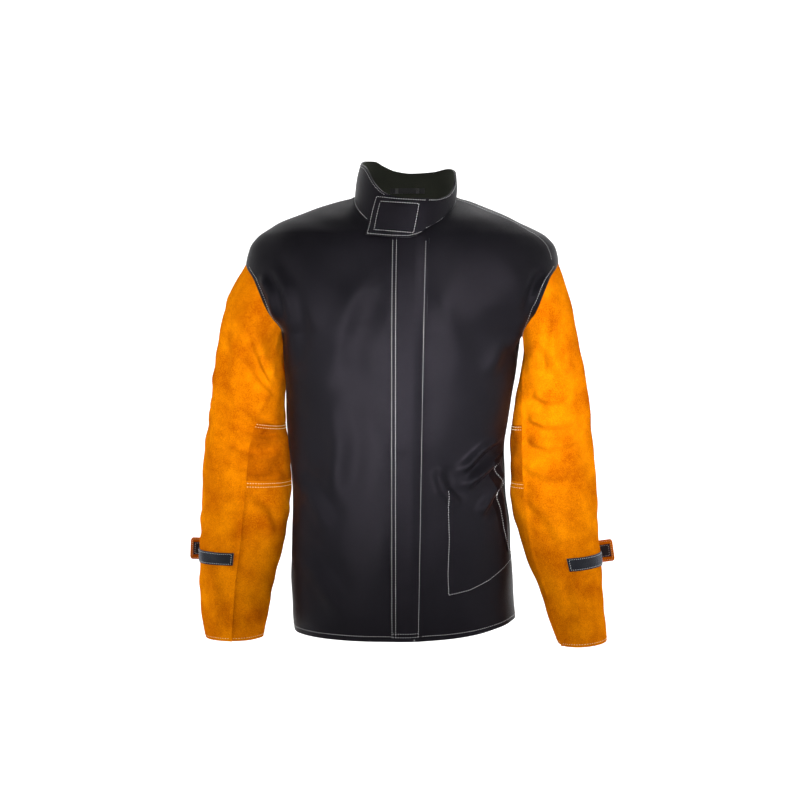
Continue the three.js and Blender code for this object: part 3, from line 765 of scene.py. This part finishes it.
tab_points, tab_normal = tab_grid()
tab = cloth_piece("collar_tab_cloth", tab_points, DOUBLE_COTTON, COTTON, tab_normal)
attach(tab, None, ["collar_tab"], TAB_BEND)
collar_piece(
    "collar_hook_pad", -29, 12, 34, 3.4, PAD_THICK, "collar_tab", ["collar_hook_tape"], 0.14, 0.82,
    finish=TAPE,
)
collar_piece(
    "collar_loop_pad", -30, 12, 34, 2.2, PAD_THICK, "torso", ["collar_loop_tape"], 0.12, 0.84,
    finish=TAPE,
)


# ---- Sleeves ----
SLEEVE_DEPTH = profile([
    (0, 82), (0.1, 84), (0.25, 82), (0.4, 76), (0.5, 73), (0.62, 70), (0.75, 65), (0.88, 59), (1, 53),
])
SLEEVE_Y = profile([
    (0, -8), (0.1, -4), (0.25, 4), (0.4, 12), (0.5, 14), (0.62, 10), (0.75, 2), (0.88, -8), (1, -18),
])
PATCH_FROM, PATCH_TO = 0.41, 0.59  # the elbow patch, as shares of the sleeve's length
UNDER_SLEEVE = 128  # degrees round the sleeve between its two seams
# Where the strap sits along the sleeve, the degrees round at which it leaves it, its free length.
STRAP_AT, STRAP_LEAVES, STRAP_FREE = 0.805, -50, 54
STRAP_HEIGHT, TAPE_HEIGHT = 38, 22
SLEEVE_RUN, MM_PER_DEGREE = 650, 1.2  # these lay the sleeve out flat, to place its folds


class Sleeve:
    """A sleeve's surface, by share of its length and turn round it; turn 0 is its outer line.

    Rows of lines are (share of the length, outer x, outer z, inner x, inner z). The seam is given
    as degrees by share. Folds are a line of (share, degrees) points, a width and a height.
    """

    def __init__(self, side, lines, seam, folds, seed):
        self.side = side
        at = [row[0] for row in lines]
        self.ox, self.oz, self.ix, self.iz = (
            profile([(a, row[k]) for a, row in zip(at, lines)]) for k in (1, 2, 3, 4)
        )
        self.seam = profile(seam)
        self.folds = folds
        self.broad, self.small = waves(seed, 150), waves(seed + 1, 46)  # wavelengths in mm

    def spine(self, s, c):
        outer = np.stack([self.side * self.ox(s), SLEEVE_Y(s), self.oz(s)], -1)
        inner = np.stack([self.side * self.ix(s), SLEEVE_Y(s), self.iz(s)], -1)
        return (outer + inner) / 2 + (outer - inner) * (c / 2)[..., None]

    def plain(self, s, turn):
        s, turn = np.broadcast_arrays(np.asarray(s, float), np.asarray(turn, float))
        c, f = np.cos(turn), np.sin(turn)
        middle = self.spine(s, c)
        oval = middle.copy()
        oval[..., 1] -= SLEEVE_DEPTH(s) * f
        z = mix(ARMPIT_Z, -45, (1 + c) / 2)
        edge = turn_to(self.side * armhole_x(z), z)
        rim = np.where((f < 0)[..., None], body(edge, z, True, -0.9), body(edge, z, False, -0.9))
        start = middle + rim - self.spine(0 * s, c)
        ring = smooth(0.13, 0, s)
        return mix(oval, start, ring[..., None])

    def normal(self, s, turn):
        a, b = 0.02, 0.004
        round_it = self.plain(s, turn + a) - self.plain(s, turn - a)
        along_it = self.plain(np.minimum(1, s + b), turn) - self.plain(np.maximum(0, s - b), turn)
        return unit(np.cross(round_it, along_it)) * self.side

    def creases(self, s, turn, p):
        """Folds of the hide, by place along the sleeve and around it."""
        lift = 2.4 * self.broad(p) + 0.95 * self.small(p)
        for points, width, height in self.folds:
            line = [(a * SLEEVE_RUN, b * MM_PER_DEGREE) for a, b in points]
            u, v = s * SLEEVE_RUN, np.degrees(turn) * MM_PER_DEGREE
            for shift in (-360 * MM_PER_DEGREE, 0, 360 * MM_PER_DEGREE):
                d, share = along(line, u, v + shift)
                ridge = np.exp(-((d / width) ** 2)) - 0.6 * np.exp(-(((d - 1.6 * width) / width) ** 2))
                lift = lift + 1.45 * height * ridge * smooth(0, 0.2, share) * smooth(1, 0.75, share)
        slack = 4.0 * smooth(-0.55, -1.0, np.cos(turn)) * smooth(0.1, 0.25, s) * smooth(0.62, 0.45, s)
        under_strap = np.exp(-(((s - STRAP_AT) / 0.05) ** 2))
        ends = smooth(0.0, 0.09, s) * mix(0.5, 1, smooth(1.0, 0.93, s))
        return (lift + slack) * ends * (1 - 0.6 * under_strap)

    def surface(self, s, turn, lift):
        s, turn = np.broadcast_arrays(np.asarray(s, float), np.asarray(turn, float))
        p, n = self.plain(s, turn), self.normal(s, turn)
        return p + n * (self.creases(s, turn, p) + lift)[..., None], n


RIGHT_SLEEVE = Sleeve(
    -1,
    [
        (0, 268, -45, 203, -165), (0.1, 296, -105, 206, -195), (0.25, 315, -200, 207, -250),
        (0.4, 331, -290, 206, -318), (0.5, 340, -352, 200, -366), (0.62, 347, -430, 194, -437),
        (0.75, 352, -515, 201, -515), (0.88, 350, -600, 219, -597), (1, 340, -690, 238, -690),
    ],
    [(0, 150), (0.25, 140), (0.4, 112), (0.5, 98), (0.62, 93), (1, 90)],
    [
        ([(0.08, 22), (0.3, 34), (0.55, 47), (0.72, 76)], 13, 5.0),
        ([(0.13, 84), (0.22, 118), (0.3, 146)], 9, 3.6),
        ([(0.2, 70), (0.27, 112), (0.33, 150)], 8, 3.0),
        ([(0.36, 70), (0.41, 104), (0.43, 150)], 8, 3.8),
        ([(0.44, 74), (0.475, 110), (0.46, 160)], 7, 4.2),
        ([(0.50, 62), (0.53, 104), (0.51, 156)], 7, 4.0),
        ([(0.56, 66), (0.585, 112), (0.57, 160)], 8, 3.4),
        ([(0.63, 84), (0.68, 122), (0.76, 140)], 10, 3.2),
        ([(0.40, 220), (0.45, 262), (0.41, 310)], 9, 3.5),
        ([(0.50, 216), (0.54, 260), (0.50, 306)], 9, 3.8),
        ([(0.78, 20), (0.86, 60), (0.95, 66)], 11, 2.6),
        ([(0.10, 300), (0.24, 326), (0.40, 330)], 13, 3.5),
    ],
    21,
)
LEFT_SLEEVE = Sleeve(
    1,
    [
        (0, 268, -45, 203, -165), (0.1, 288, -110, 206, -195), (0.25, 305, -203, 201, -250),
        (0.4, 319, -290, 192, -318), (0.5, 327, -350, 187, -366), (0.62, 334, -430, 186, -437),
        (0.75, 340, -515, 203, -522), (0.88, 347, -600, 236, -610), (1, 353, -690, 268, -696),
    ],
    [(0, 155), (0.25, 150), (0.4, 138), (0.5, 132), (0.62, 132), (1, 142)],
    [
        ([(0.05, 60), (0.14, 84), (0.26, 92)], 11, 3.8),
        ([(0.12, 110), (0.2, 92), (0.3, 60)], 10, 3.2),
        ([(0.30, 126), (0.34, 96), (0.35, 58)], 9, 3.6),
        ([(0.38, 132), (0.42, 98), (0.43, 52)], 8, 4.0),
        ([(0.46, 130), (0.49, 92), (0.48, 40)], 8, 4.4),
        ([(0.54, 134), (0.57, 98), (0.565, 56)], 9, 3.8),
        ([(0.62, 130), (0.68, 100), (0.76, 84)], 11, 3.2),
        ([(0.78, 60), (0.86, 82), (0.96, 88)], 11, 2.8),
        ([(0.20, 20), (0.40, 26), (0.62, 14)], 14, 3.2),
        ([(0.42, 220), (0.46, 262), (0.42, 310)], 9, 3.6),
        ([(0.52, 216), (0.55, 260), (0.52, 306)], 9, 3.4),
        ([(0.10, 300), (0.24, 326), (0.40, 330)], 13, 3.2),
    ],
    33,
)


def sleeve_sheet(name, sleeve, s_values, from_, to, columns, lift, body_name, replaced, bend=None,
                 thickness=LEATHER_THICK, finish=LEATHER, inside=HIDE_INSIDE):
    s = s_values[:, None]
    u = np.linspace(0, 1, columns)[None, :]
    turn = np.radians(mix(from_(s), to(s), u))
    height = lift(u, s) if callable(lift) else lift
    outer, base = sleeve.surface(s + 0 * u, turn, height)
    normal = normals_of(outer)
    normal = np.where((normal * base).sum(-1, keepdims=True) < 0, -normal, normal)
    made = cloth_piece(name, outer, thickness, finish, normal, inside)
    attach(made, body_name, replaced, bend)


def sleeve_line(sleeve, points, lift, count):
    """A line on the sleeve through (place along, degrees around) points."""
    s, turn = through(points, count)
    return sleeve.surface(s, np.radians(turn), lift)


LAP, TUCK = 2.4, 3.0  # degrees by which the outer hide and the under sleeve pass the seams
WELT, WELT_SHARE = 1.6, 0.03  # the outer hide is raised along its edges
UNDER_LIFT, CUFF_HEM, BASE_DEGREES = -1.9, 0.98, 36
SHOULDER_REACH, ELBOW_REACH = 70, 29  # how far the bends run from the armhole and the elbow


def make_sleeve(word, sleeve, elbow):
    side, seam = sleeve.side, sleeve.seam
    upper_arm, forearm = f"{word}_upper_arm", f"{word}_forearm"
    armhole = np.array([side * 236.0, -8.0, -105.0])
    lean = unit(np.array([side * 120.0, 0.0, -65.0]))
    shoulder_bend = (
        "torso", upper_arm, tuple(armhole * MM), tuple((armhole + lean * SHOULDER_REACH) * MM),
    )
    down = unit(np.array([side * 0.1, 0.0, -1.0]))
    elbow_bend = (
        upper_arm, forearm,
        tuple((elbow - down * ELBOW_REACH) * MM), tuple((elbow + down * ELBOW_REACH) * MM),
    )

    def back_seam(s):
        return seam(s) + UNDER_SLEEVE

    def outer_lift(u, s):
        return WELT * smooth(WELT_SHARE, 0.0, np.minimum(u, 1 - u))

    def patch_lift(u, s):
        return UNDER_LIFT - 0.5 * smooth(0.42, 0.41, s)

    def outer_hide(part, s, bend):
        sleeve_sheet(
            f"{word}_sleeve_{part}_hide", sleeve, s, lambda s: back_seam(s) - 360 - LAP,
            lambda s: seam(s) + LAP, 150, outer_lift, None, [f"{word}_sleeve_{part}"], bend,
        )

    def under_hide(piece, s, lift, replaced, bend, finish=LEATHER):
        sleeve_sheet(
            f"{word}_{piece}_hide", sleeve, s, lambda s: seam(s) - TUCK,
            lambda s: back_seam(s) + TUCK, 80, lift, None, [f"{word}_{replaced}"], bend, finish=finish,
        )

    def under_line(at, count):
        ends = [(at, float(seam(at)) + 3), (at, float(back_seam(at)) - 3)]
        return sleeve_line(sleeve, ends, UNDER_LIFT, count)

    upper, lower = np.linspace(0, PATCH_FROM, 70), np.linspace(PATCH_FROM, 1, 100)
    patch, below_patch = np.linspace(PATCH_FROM, PATCH_TO, 50), np.linspace(PATCH_TO, 1, 70)
    outer_hide("upper", upper, shoulder_bend)
    outer_hide("lower", lower, elbow_bend)
    under_hide("under_upper", upper, UNDER_LIFT, "under_sleeve_upper", shoulder_bend)
    # The elbow patch takes the darker leather, whose darkness is partly painted shade.
    under_hide("elbow", patch, patch_lift, "elbow_patch", elbow_bend, ELBOW_HIDE_AND_SHADE)
    under_hide("under_lower", below_patch, UNDER_LIFT, "under_sleeve_lower", elbow_bend)
    rows = (PATCH_FROM + 0.008, PATCH_FROM + 0.018, PATCH_TO + 0.007, PATCH_TO + 0.017)
    stitches(
        f"{word}_elbow_thread", [under_line(at, 90) for at in rows], YELLOW_THREAD, None, elbow_bend,
        length=3.4, pitch=4.6, radius=0.6,
    )
    around = [(CUFF_HEM, float(back_seam(CUFF_HEM)) - 360), (CUFF_HEM, float(seam(CUFF_HEM)))]
    stitches(
        f"{word}_cuff_thread", [sleeve_line(sleeve, around, 0.05, 260), under_line(CUFF_HEM, 120)],
        YELLOW_THREAD, forearm, length=3.2, pitch=4.6, radius=0.5,
    )

    length = math.dist((sleeve.ox(1.0), sleeve.oz(1.0)), (sleeve.ox(0.0), sleeve.oz(0.0)))
    high, low = STRAP_HEIGHT / 2 / length, TAPE_HEIGHT / 2 / length
    sleeve_sheet(
        f"{word}_cuff_tape", sleeve, np.linspace(STRAP_AT - low, STRAP_AT + low, 16),
        lambda s: 2, lambda s: 86, 60, 2.0, forearm, [f"{word}_cuff_loop_tape"],
        thickness=TAPE_THICK, finish=TAPE, inside=None,
    )
    top, bottom = STRAP_AT - low * 0.78, STRAP_AT + low * 0.78
    border = [(top, 5), (top, 83), (bottom, 83), (bottom, 5), (top, 5)]
    stitches(
        f"{word}_tape_thread", [sleeve_line(sleeve, border, 2.1, 240)], PALE_THREAD, forearm,
        length=2.6, pitch=3.8, radius=0.5,
    )
    sleeve_sheet(
        f"{word}_strap_base_hide", sleeve, np.linspace(STRAP_AT - high, STRAP_AT + high, 16),
        lambda s: STRAP_LEAVES - BASE_DEGREES, lambda s: STRAP_LEAVES - 2.4, 24, 2.3, forearm,
        [f"{word}_cuff_strap_base"],
    )
    top, bottom = STRAP_AT - high * 0.85, STRAP_AT + high * 0.85
    near, far = STRAP_LEAVES - 3, STRAP_LEAVES - BASE_DEGREES + 3
    border = [(top, near), (top, far), (bottom, far), (bottom, near)]
    stitches(
        f"{word}_strap_base_thread", [sleeve_line(sleeve, border, 2.35, 120)], YELLOW_THREAD, forearm,
    )
    make_strap(word, sleeve)


def make_strap(word, sleeve):
    base = math.radians(STRAP_LEAVES)
    s0 = np.array(STRAP_AT)
    point, normal = sleeve.surface(s0, np.array(base), 0.0)
    up = unit(sleeve.plain(s0 - 0.02, np.array(base)) - sleeve.plain(s0 + 0.02, np.array(base)))
    out = unit(np.cross(up, normal)) * -sleeve.side
    face = unit(np.cross(out, up))
    face = face * np.sign(face @ normal)

    def place(u, v, lift):
        """u runs out along the strap, v up it; the strap curls a little away at its tip."""
        curl = 0.0016 * np.maximum(u - 8, 0) ** 2
        return point + out * u[..., None] + up * v[..., None] + face * (lift + curl)[..., None]

    u = np.linspace(2.2, STRAP_FREE, 40)[None, :]
    v = np.linspace(-1, 1, 24)[:, None] * STRAP_HEIGHT / 2
    corner = 5.0
    inset = corner - np.sqrt(np.maximum(corner**2 - np.maximum(u - (STRAP_FREE - corner), 0) ** 2, 0))
    v = v * (1 - inset / (STRAP_HEIGHT / 2))
    outer = place(u, v, 2.4)
    flat = np.broadcast_to(face, outer.shape)
    strap = cloth_piece(f"{word}_strap_hide", outer, LEATHER_THICK, LEATHER, flat, LEATHER)
    attach(strap, f"{word}_cuff_strap", [f"{word}_cuff_strap"])
    u = np.linspace(17, STRAP_FREE - 4.5, 26)[None, :]
    v = np.linspace(-1, 1, 14)[:, None] * TAPE_HEIGHT / 2
    pad = place(u, v, 0.7)
    tape = cloth_piece(f"{word}_strap_tape", pad, TAPE_THICK, TAPE, flat[:14, :26])
    attach(tape, f"{word}_cuff_strap", [f"{word}_cuff_hook_tape"])

    def box_line(u0, u1, half, lift, toward):
        corners = [(u0, -half), (u1, -half), (u1, half), (u0, half), (u0, -half)]
        a, b = through(corners, 160)
        return place(a, b, lift), np.broadcast_to(face * toward, (160, 3))

    stitches(
        f"{word}_strap_tape_thread",
        [box_line(19.5, STRAP_FREE - 7, TAPE_HEIGHT / 2 - 2, -0.62, -1)],
        PALE_THREAD, f"{word}_cuff_strap", length=2.4, pitch=3.4, radius=0.5,
    )
    stitches(
        f"{word}_strap_thread",
        [
            box_line(5, STRAP_FREE - 2.5, STRAP_HEIGHT / 2 - 3, 2.45, 1),
            box_line(14, STRAP_FREE - 2.5, STRAP_HEIGHT / 2 - 3, 0.68, -1),
        ],
        YELLOW_THREAD, f"{word}_cuff_strap", length=2.4, pitch=3.6, radius=0.45,
    )


make_sleeve("right", RIGHT_SLEEVE, np.array([-270.0, -61.5, -359.0]))
make_sleeve("left", LEFT_SLEEVE, np.array([257.0, -61.5, -358.0]))

# ---- Stitching on the body ----
SEAM_LIFT, ARMHOLE_INSET = 0.12, 7.0


def hem_line(from_turn, to_turn, back):
    turn = np.linspace(from_turn, to_turn, 200)
    return turn_line(turn, HEM_Z + HEM_ROW, SEAM_LIFT, back)


def armhole_line(side, back):
    z = np.linspace(-163, -50, 90)
    return turn_line(turn_to(side * (armhole_x(z) - ARMHOLE_INSET), z), z, SEAM_LIFT, back)


def shoulder_line(side, forward):
    """A line along the shoulder, this far inside the place where front and back meet."""
    z = np.linspace(-40, 62, 120)
    x = np.abs(plain_body(side * np.full(z.shape, SIDE_SEAM), z, False)[:, 0]) - forward
    turn = side * np.minimum(np.abs(turn_to(side * x, z)), SIDE_SEAM)
    return turn_line(turn, z, SEAM_LIFT)


HEM_ROW = 9  # height of the row of stitches above the hem
SIDE_GAP = 0.02  # a row stops this turn short of the side seam
body_threads = [
    hem_line(-SIDE_SEAM + SIDE_GAP, float(turn_to(24.0, HEM_Z + HEM_ROW)), False),
    hem_line(-SIDE_SEAM + SIDE_GAP, SIDE_SEAM - SIDE_GAP, True),
    armhole_line(-1, False), armhole_line(1, False), armhole_line(-1, True), armhole_line(1, True),
    shoulder_line(-1, 4), shoulder_line(1, 12),
]
stitches("body_thread", body_threads, PALE_THREAD, "torso")
left_threads = [
    hem_line(float(turn_to(36.0, HEM_Z + HEM_ROW)), SIDE_SEAM - SIDE_GAP, False),
    body_line([(163, -378), (168, -436), (174, -492), (184, -530), (192, -550)], 90),
    body_line(
        [(83, -420), (85, -500), (83, -560), (84, -596), (120, -590), (152, -577), (193, -547)], 200,
    ),
]
stitches("left_front_thread", left_threads, PALE_THREAD, None, FRONT_BEND)
flap_threads = [
    flap_line(lambda z: FLAP_FREE_X + 2.6), flap_line(lambda z: FLAP_FREE_X + 8.8),
    flap_line(lambda z: flap_seam_x(z) - 5), flap_end(FLAP_BOTTOM + 4), flap_end(FLAP_BOTTOM + 10),
]
stitches("flap_thread", flap_threads, PALE_THREAD, None, FLAP_BEND)
LOW_ROW, HIGH_ROW = 0.05, 0.95  # the collar's two rows of stitches, as shares of its height
collar_threads = [
    collar_line(-180, -44, LOW_ROW), collar_line(-180, 12, HIGH_ROW),
    collar_line(COLLAR_SPLIT, 180, LOW_ROW), collar_line(COLLAR_SPLIT, 180, HIGH_ROW),
]
stitches("collar_thread", collar_threads, PALE_THREAD, "torso")
collar_threads = [collar_line(26, COLLAR_SPLIT, row) for row in (LOW_ROW, HIGH_ROW)]
stitches("left_collar_thread", collar_threads, PALE_THREAD, None, FRONT_BEND)


def tab_line(points):
    """A line on the tab through (turn in degrees, height) points."""
    turn, z = through(points, 40 * (len(points) - 1) + 1)
    return on_tab(np.radians(turn), z, 0.1)


stitches(
    "collar_tab_thread",
    [
        tab_line([(22, 57), (12, 57), (-10, 59), (-33.8, 63)]),
        tab_line([(-33.8, 63), (-38.2, 2.5)]),
        tab_line([(-38.2, 2.5), (-10, -1.2), (6, -1.8), (14, 1.2), (22, 6)]),
        tab_line([(-28.5, 55), (14, 50.5), (11.5, 3), (-31, 8.5), (-28.5, 55)]),
    ],
    PALE_THREAD, None, TAB_BEND,
)

# ---- Light and floor ----
def area_light(name, place, size, power, aim=AIM, spread=180):
    data = bpy.data.lights.new(name, "AREA")
    data.shape = "DISK"
    data.size = size
    data.energy = power
    data.spread = math.radians(spread)
    light = bpy.data.objects.new(name, data)
    light.location = place
    light.rotation_euler = (Vector(aim) - Vector(place)).to_track_quat("-Z", "Y").to_euler()
    light.visible_camera = False
    scene.collection.objects.link(light)


area_light("left_key", (-2.5, -0.9, -0.4), 1.0, 17)
area_light("right_key", (2.6, -1.0, -0.4), 1.0, 17)
area_light("chest", (0.15, -2.0, -0.05), 0.5, 2.3, (0.03, -0.14, -0.25), 17)
area_light("rim", (0.4, 2.2, 1.9), 1.4, 24)

world = bpy.data.worlds.new("world")
world.use_nodes = True
set_inputs(world.node_tree.nodes["Background"], {"Color": (1, 1, 1, 1), "Strength": 0.25})
scene.world = world
scene.view_settings.view_transform = "Standard"

FLOOR_Z, FLOOR_RADIUS, SWEEP_RADIUS, WALL_TOP = -1.7, 4.0, 2.5, 9.0
SPOKES = 72


def paper_material():
    paper = bpy.data.materials.new("paper")
    paper.use_nodes = True
    tree = paper.node_tree
    shader = tree.nodes["Principled BSDF"]
    set_inputs(shader, {
        "Base Color": (0.6, 0.6, 0.6, 1), "Roughness": 1.0, "Specular IOR Level": 0.0,
        "Emission Color": (1, 1, 1, 1),
    })
    place = node_of(tree, "TexCoord")
    split = node_of(tree, "SeparateXYZ")
    glow = node_of(tree, "MapRange", clamp=True)
    set_inputs(glow, {"From Min": -3.0, "From Max": 2.5, "To Min": 0.2, "To Max": 0.85})
    tree.links.new(place.outputs["Object"], split.inputs[0])
    tree.links.new(split.outputs["Y"], glow.inputs["Value"])
    tree.links.new(glow.outputs["Result"], shader.inputs["Emission Strength"])
    return paper


def add_floor():
    """A pale floor that sweeps up into a wall all round; it glows more behind the jacket."""
    rings = [(FLOOR_RADIUS * k / 6, FLOOR_Z) for k in range(1, 6)]
    for a in np.linspace(0, math.pi / 2, 24):
        rings.append((
            FLOOR_RADIUS + SWEEP_RADIUS * math.sin(a), FLOOR_Z + SWEEP_RADIUS * (1 - math.cos(a)),
        ))
    rings.append((FLOOR_RADIUS + SWEEP_RADIUS, WALL_TOP))
    turns = [2 * math.pi * k / SPOKES for k in range(SPOKES)]
    verts = [(0.0, 0.0, FLOOR_Z)]
    verts += [(r * math.cos(t), r * math.sin(t), z) for r, z in rings for t in turns]
    faces = [(0, 1 + k, 1 + (k + 1) % SPOKES) for k in range(SPOKES)]
    for ring in range(len(rings) - 1):
        first = 1 + ring * SPOKES
        for k in range(SPOKES):
            a, b = first + k, first + (k + 1) % SPOKES
            faces.append((a, a + SPOKES, b + SPOKES, b))
    mesh_object("floor", verts, faces, paper_material())


add_floor()
